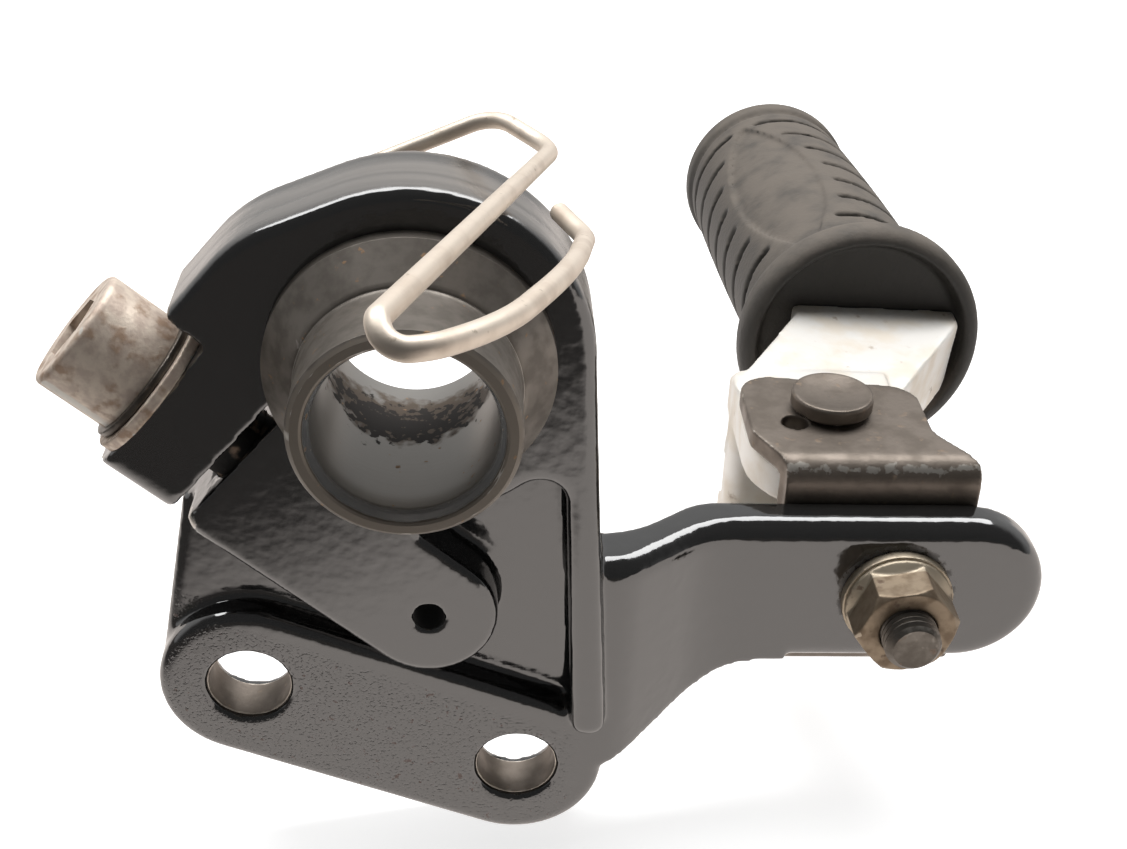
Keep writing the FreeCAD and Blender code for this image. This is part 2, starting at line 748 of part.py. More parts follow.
def fold_relief(outer, inward):
    """Bevel cutter for the lug edge that sweeps past the inside radius of a clevis fold."""
    size = fold_bevel
    over = lug_clearance
    left = pin_x - eye_radius
    right = pin_x + eye_radius
    front = web_inside + stop_clearance
    near = [(-over, over), (size + over, over), (-over, -size - over)]
    along_left = [V(left + u, pin_y, outer - inward * w) for u, w in near]
    along_front = [V(pin_x, front + u, outer - inward * w) for u, w in near]
    side = Part.Face(Part.makePolygon(along_left + along_left[:1]))
    face = Part.Face(Part.makePolygon(along_front + along_front[:1]))
    return [side.extrude(V(0, base_wall_back - pin_y, 0)), side.revolve(V(pin_x, pin_y, 0), UP, 90),
            face.extrude(V(right + over - pin_x, 0, 0))]


def lug(outer, inward):
    """Round eye about the pivot pin with a square stop corner on its right."""
    z0 = min(outer, outer + inward * lug_thickness)
    z1 = max(outer, outer + inward * lug_thickness)
    eye = z_rod(eye_radius, pin_x, pin_y, z0, z1)
    left = pin_x - eye_radius
    right = pin_x + eye_radius
    front = web_inside + stop_clearance
    outline = [(left, pin_y), (pin_x, pin_y), (pin_x, front), (right, front, stop_corner_round),
               (right, base_wall_back), (left, base_wall_back)]
    body = eye.fuse(plan_prism(outline, z0, z1)).removeSplitter()
    for piece in fold_relief(outer, inward):
        body = body.cut(piece)
    return body


def peg_base():
    """Fork with two lugs, a back wall and a skewed block that carries the spigot."""
    left = pin_x - eye_radius
    right = pin_x + eye_radius
    upper = lug(lug_top, -1)
    lower = lug(lug_foot, 1)
    wall = plan_prism([(left, base_wall_front, wall_corner_round), (right, base_wall_front),
                       (right, base_wall_back), (left, base_wall_back, wall_corner_round)],
                      lug_foot, lug_top)
    block_foot = lug_top - block_height
    end = peg_start + 2.0 * dish_depth
    block = plan_prism([(left, base_wall_front + wall_corner_round), (right, base_wall_front),
                        (peg_x + block_right, peg_start), (peg_x + block_right, end),
                        (peg_x - block_left, end), (peg_x - block_left, peg_start)], block_foot, lug_top)
    block.rotate(V(left, base_wall_front, lug_top), V(1, 0, 0), block_pitch)
    block.rotate(V(left, peg_start, lug_top), ALONG_Y, block_roll)
    reach = dish_depth - block_end_clearance
    wide = 2.0 * (block_left + block_right)
    beyond = Part.makeBox(2 * wide, wide, 2 * wide, V(peg_x - wide, peg_start + reach, peg_z - wide))
    block = block.cut(lean(beyond))
    fit = dish_radius - block_end_clearance
    collar = turned([(fit, -spigot_root), (wide, -spigot_root), (wide, reach), (fit, reach)],
                    V(peg_x, peg_start, peg_z))
    block = block.cut(lean(collar))
    body = upper.fuse([lower, wall, block]).removeSplitter()
    ridge = spigot_ridge
    place = spigot_ridge_position
    profile = [(0, -spigot_root), (spigot_radius, -spigot_root), (spigot_radius, place - 2 * ridge),
               (spigot_radius + ridge, place), (spigot_radius, place + 2 * ridge),
               (spigot_radius, spigot_length - ridge), (spigot_radius - ridge, spigot_length),
               (0, spigot_length)]
    rod = turned(profile, V(peg_x, peg_start, peg_z))
    body = body.fuse(lean(rod)).removeSplitter()
    body = body.cut(z_rod(pin_radius + pin_running_fit, pin_x, pin_y, lug_foot, lug_top))
    pocket_foot = lug_top - lug_thickness + pocket_floor
    return body.cut(z_rod(ball_radius + pocket_play, detent_x, detent_y, pocket_foot, lug_top))


def rubber_blank():
    """Turned form of the rubber: two rounded flanges, a barrel between them and the spigot's bore."""
    bore = spigot_radius + spigot_fit
    ridge = spigot_ridge
    place = spigot_ridge_position
    far = rubber_length - far_flange_length
    outline = [(bore, dish_depth), (dish_radius, dish_depth), (dish_radius + dish_slope, 0),
               (near_flange_radius, 0, near_flange_round),
               (near_flange_radius, near_flange_length, near_flange_round / 2.0),
               (rubber_radius_near, near_flange_length, flange_root_round),
               (rubber_radius_middle, barrel_middle, barrel_round),
               (rubber_radius_far, barrel_far, flange_root_round),
               (far_neck_radius, far), (far_flange_radius, far, flange_root_round),
               (far_flange_radius, rubber_length, far_flange_round), (0, rubber_length),
               (0, spigot_length + spigot_fit), (bore - ridge, spigot_length + spigot_fit),
               (bore, spigot_length - ridge), (bore, place + 2 * ridge), (bore + ridge, place),
               (bore, place - 2 * ridge)]
    wire = rounded_wire(outline, lambda p: V(peg_x + p.x, peg_start + p.y, peg_z))
    return Part.Face(wire).revolve(V(peg_x, peg_start, peg_z), ALONG_Y, 360)


def barrel_radius(place):
    """Radius of the rubber's barrel at a distance from its near face."""
    share = (place - barrel_middle) / (barrel_far - barrel_middle)
    end = rubber_radius_far if share > 0 else rubber_radius_near
    return rubber_radius_middle + (end - rubber_radius_middle) * abs(share)


def panel_outline(half, start, end, top):
    """Pointed panel between two arcs, seen from above."""
    middle = (start + end) / 2.0
    near = V(peg_x, start, top)
    far = V(peg_x, end, top)
    return Part.Wire([Part.Arc(near, V(peg_x + half, middle, top), far).toShape(),
                      Part.Arc(far, V(peg_x - half, middle, top), near).toShape()])


def panel_half(half, length, place):
    """Half width of a pointed panel at a distance from its middle."""
    radius = (half ** 2 + (length / 2.0) ** 2) / (2.0 * half)
    return math.sqrt(radius ** 2 - place ** 2) - radius + half


def side_grooves():
    """Cross grooves on both flanks that stop short of the panel and of its opposite side."""
    first = near_flange_length + groove_end_margin
    last = barrel_far - groove_end_margin
    length = barrel_far - near_flange_length
    outer = near_flange_radius
    half = groove_width / 2.0
    cuts = []
    for i in range(groove_count):
        place = first + (last - first) * i / (groove_count - 1)
        floor = barrel_radius(place) - groove_depth
        section = [(floor, place - half), (outer, place - half), (outer, place + half),
                   (floor, place + half)]
        ring = turned(section, V(peg_x, peg_start, peg_z))
        wide = panel_half(panel_half_width, length, place - barrel_middle)
        keep = Part.makeBox(2 * wide, 2 * groove_width, 2 * outer,
                            V(peg_x - wide, peg_start + place - groove_width, peg_z - outer))
        cuts.append(ring.cut(keep))
    return cuts


def peg_rubber():
    """Moulded rubber sleeve with two flanges, cross grooves and a sunk pointed panel."""
    body = rubber_blank()
    cuts = side_grooves()
    top = peg_z + near_flange_radius
    start = peg_start + near_flange_length + panel_end_margin
    end = peg_start + barrel_far - panel_end_margin
    lens = Part.Face(panel_outline(panel_half_width - panel_border, start, end, top))
    core = turned([(0, 0), (rubber_radius_near - panel_recess, near_flange_length),
                   (rubber_radius_middle - panel_recess, barrel_middle),
                   (rubber_radius_far - panel_recess, barrel_far), (0, rubber_length)],
                  V(peg_x, peg_start, peg_z))
    cuts.append(lens.extrude(V(0, 0, -near_flange_radius)).cut(core))
    for piece in cuts:
        piece.rotate(V(peg_x, peg_start, peg_z), ALONG_Y, -panel_turn)
        body = body.cut(piece)
    return lean(body)


def detent_ball():
    centre = V(detent_x, detent_y, ear_top - sheet - ball_clearance - ball_radius)
    return Part.makeSphere(ball_radius, centre)


def detent_spring():
    """Square-wire spring under the ball, at rest as closed turns on the pocket floor."""
    floor = lug_top - lug_thickness + pocket_floor
    outer = detent_spring_radius
    turns = []
    for i in range(detent_turns):
        level = floor + detent_wire * i
        turns.append(ring_washer(outer, outer - detent_wire, V(detent_x, detent_y, level),
                                 V(detent_x, detent_y, level + detent_wire)))
    return turns[0].fuse(turns[1:]).removeSplitter()


def main():
    makers = [hanger_casting, bush, pinch_bolt, pinch_flat_washer, pinch_lock_washer, wire_guide, clevis,
              clevis_bolt, nut_washer, flange_nut, pivot_pin, pin_washer, split_pin, peg_base, peg_rubber,
              detent_ball, detent_spring]
    os.makedirs("parts", exist_ok=True)
    for maker in makers:
        shape = maker()
        name = maker.__name__
        shape.exportStep("parts/" + name + ".step")
        print(name, "solids", len(shape.Solids), "volume", round(shape.Volume, 1), "valid", shape.isValid())


main()
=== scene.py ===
import math

import bmesh
import bpy
from mathutils import Matrix, Vector


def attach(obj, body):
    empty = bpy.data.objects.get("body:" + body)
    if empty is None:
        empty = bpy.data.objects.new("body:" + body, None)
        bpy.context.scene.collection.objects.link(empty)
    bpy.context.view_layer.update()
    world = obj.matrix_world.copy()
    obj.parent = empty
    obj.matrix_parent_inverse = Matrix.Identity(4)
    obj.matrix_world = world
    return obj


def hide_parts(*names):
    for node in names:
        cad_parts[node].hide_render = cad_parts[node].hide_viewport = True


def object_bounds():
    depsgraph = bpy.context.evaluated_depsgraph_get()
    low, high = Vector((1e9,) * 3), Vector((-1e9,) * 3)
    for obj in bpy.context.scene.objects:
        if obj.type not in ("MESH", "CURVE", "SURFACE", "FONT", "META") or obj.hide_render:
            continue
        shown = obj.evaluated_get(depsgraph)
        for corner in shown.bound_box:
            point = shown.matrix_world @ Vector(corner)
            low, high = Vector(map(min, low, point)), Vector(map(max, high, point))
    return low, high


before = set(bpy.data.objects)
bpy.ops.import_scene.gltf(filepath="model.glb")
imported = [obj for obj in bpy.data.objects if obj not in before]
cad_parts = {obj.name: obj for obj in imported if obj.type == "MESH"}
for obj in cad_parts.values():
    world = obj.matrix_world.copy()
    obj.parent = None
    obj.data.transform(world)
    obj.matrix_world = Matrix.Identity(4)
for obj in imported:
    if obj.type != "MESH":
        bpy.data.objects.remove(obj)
cadLow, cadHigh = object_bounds()
mm = 0.001
print("frame loaded with", len(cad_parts), "CAD nodes")


# node helpers
def addNode(tree, kind, **settings):
    node = tree.nodes.new(kind)
    for name, value in settings.items():
        setattr(node, name, value)
    return node


def setInputs(node, **values):
    for name, value in values.items():
        node.inputs[name.replace("_", " ")].default_value = value
    return node


def newGroup(name, inputs, outputs):
    group = bpy.data.node_groups.new(name, "ShaderNodeTree")
    for label, value in inputs.items():
        kind = "NodeSocketVector" if isinstance(value, tuple) else "NodeSocketFloat"
        socket = group.interface.new_socket(label, in_out="INPUT", socket_type=kind)
        socket.default_value = value
    for label in outputs:
        group.interface.new_socket(label, in_out="OUTPUT", socket_type="NodeSocketFloat")
    return group, group.nodes.new("NodeGroupInput"), group.nodes.new("NodeGroupOutput")


def useGroup(tree, group, **values):
    node = tree.nodes.new("ShaderNodeGroup")
    node.node_tree = group
    return setInputs(node, **values)


# soft clouds of tone, or pits and specks with close limits
def makeCloudGroup():
    group, source, sink = newGroup(
        "toneClouds",
        {"Scale": 200.0, "Detail": 4.0, "Low": 0.35, "High": 0.65, "Stretch": (1.0, 1.0, 1.0)},
        ["Mask"],
    )
    place = addNode(group, "ShaderNodeTexCoord")
    stretch = addNode(group, "ShaderNodeMapping")
    noise = addNode(group, "ShaderNodeTexNoise")
    spread = addNode(group, "ShaderNodeMapRange", interpolation_type="SMOOTHSTEP")
    group.links.new(place.outputs["Object"], stretch.inputs["Vector"])
    group.links.new(source.outputs["Stretch"], stretch.inputs["Scale"])
    group.links.new(stretch.outputs["Vector"], noise.inputs["Vector"])
    group.links.new(source.outputs["Scale"], noise.inputs["Scale"])
    group.links.new(source.outputs["Detail"], noise.inputs["Detail"])
    group.links.new(noise.outputs["Fac"], spread.inputs["Value"])
    group.links.new(source.outputs["Low"], spread.inputs["From Min"])
    group.links.new(source.outputs["High"], spread.inputs["From Max"])
    group.links.new(spread.outputs["Result"], sink.inputs["Mask"])
    return group


# bright wear on outer edges and a set tone in concave corners, both broken up by noise
wearJitter = 0.05


def makeEdgeGroup():
    group, source, sink = newGroup(
        "edgeWear",
        {"Start": 0.53, "Full": 0.6, "Break": 900.0, "Dirt Start": 0.47, "Dirt Full": 0.4},
        ["Wear", "Hollows"],
    )
    shape = addNode(group, "ShaderNodeNewGeometry")
    place = addNode(group, "ShaderNodeTexCoord")
    noise = addNode(group, "ShaderNodeTexNoise")
    jitter = setInputs(addNode(group, "ShaderNodeMapRange"), To_Min=-wearJitter, To_Max=wearJitter)
    total = addNode(group, "ShaderNodeMath", operation="ADD")
    group.links.new(place.outputs["Object"], noise.inputs["Vector"])
    group.links.new(source.outputs["Break"], noise.inputs["Scale"])
    group.links.new(noise.outputs["Fac"], jitter.inputs["Value"])
    group.links.new(shape.outputs["Pointiness"], total.inputs[0])
    group.links.new(jitter.outputs["Result"], total.inputs[1])
    for label, start, full in (("Wear", "Start", "Full"), ("Hollows", "Dirt Start", "Dirt Full")):
        spread = addNode(group, "ShaderNodeMapRange", interpolation_type="SMOOTHSTEP")
        group.links.new(total.outputs["Value"], spread.inputs["Value"])
        group.links.new(source.outputs[start], spread.inputs["From Min"])
        group.links.new(source.outputs[full], spread.inputs["From Max"])
        group.links.new(spread.outputs["Result"], sink.inputs[label])
    return group


# a spot or ring about a place on the object, with a ragged edge
def makePlaceGroup():
    group, source, sink = newGroup(
        "placeMask",
        {
            "Centre": (0.0, 0.0, 0.0), "Shape": (1.0, 1.0, 1.0), "Inner": -1.0, "Outer": 1 * mm,
            "Soft": 0.2 * mm, "Ragged": 0.0, "Break": 600.0,
        },
        ["Mask"],
    )
    place = addNode(group, "ShaderNodeTexCoord")
    offset = addNode(group, "ShaderNodeVectorMath", operation="SUBTRACT")
    shaped = addNode(group, "ShaderNodeVectorMath", operation="MULTIPLY")
    distance = addNode(group, "ShaderNodeVectorMath", operation="LENGTH")
    group.links.new(place.outputs["Object"], offset.inputs[0])
    group.links.new(source.outputs["Centre"], offset.inputs[1])
    group.links.new(offset.outputs["Vector"], shaped.inputs[0])
    group.links.new(source.outputs["Shape"], shaped.inputs[1])
    group.links.new(shaped.outputs["Vector"], distance.inputs[0])
    noise = setInputs(addNode(group, "ShaderNodeTexNoise"), Detail=5.0)
    centred = addNode(group, "ShaderNodeMath", operation="SUBTRACT")
    centred.inputs[1].default_value = 0.5
    jitter = addNode(group, "ShaderNodeMath", operation="MULTIPLY_ADD")
    group.links.new(place.outputs["Object"], noise.inputs["Vector"])
    group.links.new(source.outputs["Break"], noise.inputs["Scale"])
    group.links.new(noise.outputs["Fac"], centred.inputs[0])
    group.links.new(centred.outputs["Value"], jitter.inputs[0])
    group.links.new(source.outputs["Ragged"], jitter.inputs[1])
    group.links.new(distance.outputs["Value"], jitter.inputs[2])
    sides = []
    for first, second in ((source.outputs["Outer"], jitter.outputs["Value"]),
                          (jitter.outputs["Value"], source.outputs["Inner"])):
        gap = addNode(group, "ShaderNodeMath", operation="SUBTRACT")
        side = addNode(group, "ShaderNodeMath", operation="DIVIDE", use_clamp=True)
        group.links.new(first, gap.inputs[0])
        group.links.new(second, gap.inputs[1])
        group.links.new(gap.outputs["Value"], side.inputs[0])
        group.links.new(source.outputs["Soft"], side.inputs[1])
        sides.append(side.outputs["Value"])
    both = addNode(group, "ShaderNodeMath", operation="MULTIPLY")
    group.links.new(sides[0], both.inputs[0])
    group.links.new(sides[1], both.inputs[1])
    group.links.new(both.outputs["Value"], sink.inputs["Mask"])
    return group


toneClouds = makeCloudGroup()
edgeWear = makeEdgeGroup()
placeMask = makePlaceGroup()


def clouds(tree, **settings):
    return useGroup(tree, toneClouds, **settings).outputs["Mask"]


def newMaterial(name, color, roughness, metallic=0.0):
    material = bpy.data.materials.new(name)
    material.use_nodes = True
    tree = material.node_tree
    shader = tree.nodes["Principled BSDF"]
    shader.inputs["Base Color"].default_value = (*color, 1.0)
    shader.inputs["Roughness"].default_value = roughness
    shader.inputs["Metallic"].default_value = metallic
    return material, tree, shader


# lay a second colour or number over the first where the mask is white
def overlay(tree, mask, first, second):
    isColor = isinstance(second, tuple)
    kind = "RGBA" if isColor else "VALUE"
    mix = addNode(tree, "ShaderNodeMix", data_type="RGBA" if isColor else "FLOAT")
    tree.links.new(mask, mix.inputs["Factor"])
    for label, value in (("A", first), ("B", second)):
        socket = [s for s in mix.inputs if s.name == label and s.type == kind][0]
        if isinstance(value, tuple):
            socket.default_value = (*value, 1.0)
        elif isinstance(value, float):
            socket.default_value = value
        else:
            tree.links.new(value, socket)
    return [s for s in mix.outputs if s.type == kind][0]


def multiply(tree, first, second):
    product = addNode(tree, "ShaderNodeMath", operation="MULTIPLY")
    tree.links.new(first, product.inputs[0])
    tree.links.new(second, product.inputs[1])
    return product.outputs["Value"]


# white beyond one plane and black before another, along a direction
def gradient(tree, vector, direction, low, high):
    along = addNode(tree, "ShaderNodeVectorMath", operation="DOT_PRODUCT")
    along.inputs[1].default_value = direction
    fade = setInputs(
        addNode(tree, "ShaderNodeMapRange", interpolation_type="SMOOTHSTEP"), From_Min=low, From_Max=high
    )
    tree.links.new(vector, along.inputs[0])
    tree.links.new(along.outputs["Value"], fade.inputs["Value"])
    return fade


# the same across a place on the object, limits in mm
def placeFade(tree, place, direction, limits):
    low, high = [limit * mm for limit in limits]
    return gradient(tree, place, direction, low, high).outputs["Result"]


# one layer of a finish changes any of colour, roughness and metal under its mask
def addLayer(tree, layers, mask, **change):
    for channel, value in change.items():
        layers[channel] = overlay(tree, mask, layers[channel], value)


def connect(tree, shader, layers):
    for channel, label in (("color", "Base Color"), ("roughness", "Roughness"), ("metallic", "Metallic")):
        if not isinstance(layers[channel], (tuple, float)):
            tree.links.new(layers[channel], shader.inputs[label])


def addBump(tree, shader, height, distance, previous=None):
    bump = addNode(tree, "ShaderNodeBump")
    bump.inputs["Distance"].default_value = distance
    tree.links.new(height, bump.inputs["Height"])
    if previous:
        tree.links.new(previous.outputs["Normal"], bump.inputs["Normal"])
    tree.links.new(bump.outputs["Normal"], shader.inputs["Normal"])
    return bump


def placed(tree, spot):
    return useGroup(
        tree, placeMask, Centre=tuple(c * mm for c in spot["centre"]), Shape=spot.get("shape", (1, 1, 1)),
        Inner=spot.get("inner", -1000.0) * mm, Outer=spot["outer"] * mm, Soft=spot["soft"] * mm,
        Ragged=spot["ragged"] * mm, Break=spot["break"],
    ).outputs["Mask"]


# gloss black paint on a sand casting, places in mm
paint = {
    "color": (0.013, 0.0128, 0.0125), "roughness": 0.1, "ior": 2.1,
    "peel": {"Scale": 480.0, "Detail": 1.5, "Low": 0.2, "High": 0.8}, "peelDepth": 0.03 * mm,
    "padDirection": (0.368, 0, 0.93), "padEdge": (-47.6, -49.4), "padRight": (25.0, 20.0),
    "padFacing": (0.8, 0.95),
    "pits": {"Scale": 2300.0, "Detail": 2.0, "Low": 0.52, "High": 0.72},
    "pitDepth": 0.085 * mm, "pitRoughness": 0.22,
    "specks": {"Scale": 900.0, "Detail": 5.0, "Low": 0.65, "High": 0.7},
    "rust": (0.085, 0.034, 0.02), "rustRoughness": 0.6,
    "topFrom": (-4.0, 8.0), "topFacing": (-0.6, -0.2),
    # painted sheen: the lighter grey laid on the streaks of the ring's top
    "topSheen": (0.27, 0.243, 0.217), "topRoughness": 0.26,
    "streaks": {"Scale": 200.0, "Detail": 2.5, "Low": 0.25, "High": 0.75, "Stretch": (0.04, 1.0, 0.04)},
    "streakDepth": 0.1 * mm,
    # painted shade: a dull near-black ring round the nut washer for its contact shadow, broken up by noise
    "shadeRingBreak": {"Scale": 900.0, "Detail": 5.0, "Low": 0.4, "High": 0.55},
    "ringShade": (0.022, 0.02, 0.018), "ringShadeRoughness": 0.55,
    "nutRing": {"centre": (68.4, 13, -43.9), "shape": (1, 0.6, 1), "inner": 7.2, "outer": 9.0, "soft": 0.6,
                "ragged": 2.0, "break": 420},
    "bare": (0.55, 0.53, 0.5), "bareRoughness": 0.34,
    "chips": [
        {"centre": (-28.9, 1.0, -23.6), "shape": (1.0, 0.5, 1.0), "outer": 1.7, "soft": 0.25, "ragged": 1.6,
         "break": 700},
        {"centre": (-39.0, 2.0, -15.6), "shape": (1.0, 0.5, 1.0), "outer": 0.9, "soft": 0.2, "ragged": 1.2,
         "break": 800},
    ],
    # painted shade: matte near-black lining inside the tongue's hole
    "shadedHole": {"centre": (2.0, 0, -38.2), "shape": (1, 0, 1), "outer": 2.15, "soft": 0.05, "ragged": 0.0,
                  "break": 100},
    "holeShade": (0.001, 0.001, 0.001), "holeShadeRoughness": 1.0,
}


def makeBlackPaint():
    material, tree, shader = newMaterial("blackPaint", paint["color"], paint["roughness"])
    setInputs(shader, IOR=paint["ior"])
    layers = {"color": paint["color"], "roughness": paint["roughness"], "metallic": 0.0}
    place = addNode(tree, "ShaderNodeTexCoord").outputs["Object"]
    facing = addNode(tree, "ShaderNodeNewGeometry").outputs["Normal"]
    # the pad round the mounting holes is pitted where it faces forward
    below = placeFade(tree, place, paint["padDirection"], paint["padEdge"])
    leftward = placeFade(tree, place, (1, 0, 0), paint["padRight"])
    forward = gradient(tree, facing, (0, -1, 0), *paint["padFacing"]).outputs["Result"]
    pad = multiply(tree, multiply(tree, below, leftward), forward)
    pitMask = multiply(tree, pad, clouds(tree, **paint["pits"]))
    addLayer(tree, layers, pitMask, roughness=paint["pitRoughness"])
    speckMask = multiply(tree, pad, clouds(tree, **paint["specks"]))
    addLayer(tree, layers, speckMask, color=paint["rust"], roughness=paint["rustRoughness"])
    # the ring is rougher round its outside, with long casting streaks carrying a painted sheen of lighter
    # grey
    upper = placeFade(tree, place, (0, 0, 1), paint["topFrom"])
    outward = gradient(tree, facing, (0, 1, 0), *paint["topFacing"]).outputs["Result"]
    ringTop = multiply(tree, upper, outward)
    addLayer(tree, layers, ringTop, roughness=paint["topRoughness"])
    streaks = clouds(tree, **paint["streaks"])
    # painted sheen: lighter grey on the ring's top, standing for the bright back it reflects
    addLayer(tree, layers, multiply(tree, ringTop, streaks), color=paint["topSheen"])
    # painted shade round the nut washer, bare chips at the jaws, painted shade inside the tongue's hole
    nutShadeMask = multiply(tree, placed(tree, paint["nutRing"]), clouds(tree, **paint["shadeRingBreak"]))
    # painted shade: dull dark ring round the nut washer
    addLayer(tree, layers, nutShadeMask, color=paint["ringShade"], roughness=paint["ringShadeRoughness"])
    for chip in paint["chips"]:
        chipMask = placed(tree, chip)
        addLayer(tree, layers, chipMask, color=paint["bare"], roughness=paint["bareRoughness"], metallic=1.0)
    # painted shade inside the tongue's hole
    holeShadeMask = placed(tree, paint["shadedHole"])
    addLayer(tree, layers, holeShadeMask, color=paint["holeShade"], roughness=paint["holeShadeRoughness"])
    connect(tree, shader, layers)
    bump = addBump(tree, shader, clouds(tree, **paint["peel"]), paint["peelDepth"])
    bump = addBump(tree, shader, pitMask, -paint["pitDepth"], bump)
    addBump(tree, shader, multiply(tree, upper, streaks), paint["streakDepth"], bump)
    return material


# stained metal: clouds of a second tone, rust in spots, bright edges, a set tone in concave corners
metals = {
    "oiled_steel": {
        "clean": (0.213, 0.19, 0.166), "stain": (0.145, 0.128, 0.11),
        "stainScale": 420.0, "stainRange": (0.36, 0.68),
        "rust": (0.34, 0.215, 0.12), "rustScale": 700.0, "rustRange": (0.67, 0.73), "rustRoughness": 0.6,
        "worn": (0.5, 0.47, 0.43), "wearRange": (0.56, 0.64), "hollowTone": (0.36, 0.335, 0.305),
        "roughness": 0.4, "metallic": 0.6, "grain": 0.005 * mm, "grainStretch": (0.05, 1.0, 0.05),
    },
    "worn_steel": {
        "clean": (0.8, 0.69, 0.58), "stain": (0.62, 0.51, 0.43),
        "stainScale": 640.0, "stainRange": (0.36, 0.66),
        "rust": (0.43, 0.3, 0.215), "rustScale": 420.0, "rustRange": (0.5, 0.7), "rustRoughness": 0.7,
        "worn": (0.72, 0.68, 0.62), "wearRange": (0.56, 0.64), "hollowTone": (0.08, 0.06, 0.045),
        "roughness": 0.52, "metallic": 0.5, "grain": 0.02 * mm, "grainStretch": (1.0, 1.0, 1.0),
    },
    "spring_wire": {
        "clean": (0.78, 0.69, 0.59), "stain": (0.67, 0.58, 0.49),
        "stainScale": 260.0, "stainRange": (0.4, 0.7),
        "rust": (0.36, 0.28, 0.2), "rustScale": 700.0, "rustRange": (0.66, 0.76), "rustRoughness": 0.55,
        "worn": (0.74, 0.69, 0.62), "wearRange": (0.6, 0.7), "hollowTone": (0.35, 0.3, 0.25),
        "roughness": 0.5, "metallic": 0.85, "grain": 0.006 * mm, "grainStretch": (1.0, 1.0, 1.0),
    },
    "dark_oxide": {
        "clean": (0.22, 0.188, 0.16), "stain": (0.16, 0.136, 0.114),
        "stainScale": 230.0, "stainRange": (0.36, 0.66),
        "rust": (0.24, 0.18, 0.13), "rustScale": 520.0, "rustRange": (0.62, 0.74), "rustRoughness": 0.55,
        "worn": (0.56, 0.515, 0.455), "wearRange": (0.54, 0.59), "hollowTone": (0.05, 0.044, 0.037),
        "roughness": 0.46, "metallic": 0.9, "grain": 0.014 * mm, "grainStretch": (1.0, 1.0, 1.0),
    },
    "brown_plate": {
        "clean": (0.3, 0.24, 0.175), "stain": (0.21, 0.16, 0.113),
        "stainScale": 420.0, "stainRange": (0.38, 0.66),
        "rust": (0.14, 0.092, 0.06), "rustScale": 520.0, "rustRange": (0.6, 0.72), "rustRoughness": 0.6,
        "worn": (0.5, 0.43, 0.34), "wearRange": (0.55, 0.61), "hollowTone": (0.06, 0.044, 0.03),
        "roughness": 0.52, "metallic": 0.9, "grain": 0.012 * mm, "grainStretch": (1.0, 1.0, 1.0),
    },
    "bare_steel": {
        "clean": (0.93, 0.905, 0.86), "stain": (0.84, 0.775, 0.68),
        "stainScale": 160.0, "stainRange": (0.4, 0.7),
        "rust": (0.45, 0.36, 0.27), "rustScale": 300.0, "rustRange": (0.64, 0.76), "rustRoughness": 0.6,
        "worn": (0.6, 0.51, 0.41), "wearRange": (0.56, 0.64), "hollowTone": (0.3, 0.25, 0.19),
        "roughness": 0.5, "metallic": 0.45, "grain": 0.006 * mm, "grainStretch": (1.0, 1.0, 1.0),
    },
    "bolt_oxide": {
        "clean": (0.17, 0.155, 0.138), "stain": (0.11, 0.098, 0.085),
        "stainScale": 300.0, "stainRange": (0.38, 0.66),
        "rust": (0.2, 0.14, 0.1), "rustScale": 480.0, "rustRange": (0.62, 0.74), "rustRoughness": 0.5,
        "worn": (0.42, 0.39, 0.35), "wearRange": (0.56, 0.62), "hollowTone": (0.03, 0.026, 0.022),
        "roughness": 0.38, "metallic": 0.95, "grain": 0.012 * mm, "grainStretch": (1.0, 1.0, 1.0),
    },
}


# how stains, rust and grain lie on all of them
metalSurface = {
    "stainDetail": 6.0, "stainRoughness": 0.08, "rustDetail": 8.0, "rustMetallic": 0.3, "rustHeight": 1.5,
    "grain": {"Scale": 1500.0, "Detail": 4.0, "Low": 0.25, "High": 0.75},
}


def makeMetal(name, look, spots=()):
    surface = metalSurface
    material, tree, shader = newMaterial(name, look["clean"], look["roughness"], look["metallic"])
    layers = {"color": look["clean"], "roughness": look["roughness"], "metallic": look["metallic"]}
    low, high = look["stainRange"]
    stain = clouds(tree, Scale=look["stainScale"], Detail=surface["stainDetail"], Low=low, High=high)
    stainRoughness = look["roughness"] + surface["stainRoughness"]
    addLayer(tree, layers, stain, color=look["stain"], roughness=stainRoughness)
    for spot in spots:
        addLayer(tree, layers, placed(tree, spot), **spot["change"])
    low, high = look["rustRange"]
    rust = clouds(tree, Scale=look["rustScale"], Detail=surface["rustDetail"], Low=low, High=high)
    addLayer(tree, layers, rust, color=look["rust"], roughness=look["rustRoughness"])
    addLayer(tree, layers, rust, metallic=surface["rustMetallic"])
    low, high = look["wearRange"]
    edges = useGroup(tree, edgeWear, Start=low, Full=high)
    addLayer(tree, layers, edges.outputs["Wear"], color=look["worn"])
    # concave corners take the hollow tone, which is darker on all but the oiled steel
    addLayer(tree, layers, edges.outputs["Hollows"], color=look["hollowTone"], roughness=look["rustRoughness"])
    connect(tree, shader, layers)
    grain = clouds(tree, **surface["grain"], Stretch=look["grainStretch"])
    bump = addBump(tree, shader, grain, look["grain"])
    addBump(tree, shader, rust, look["grain"] * surface["rustHeight"], bump)
    return material
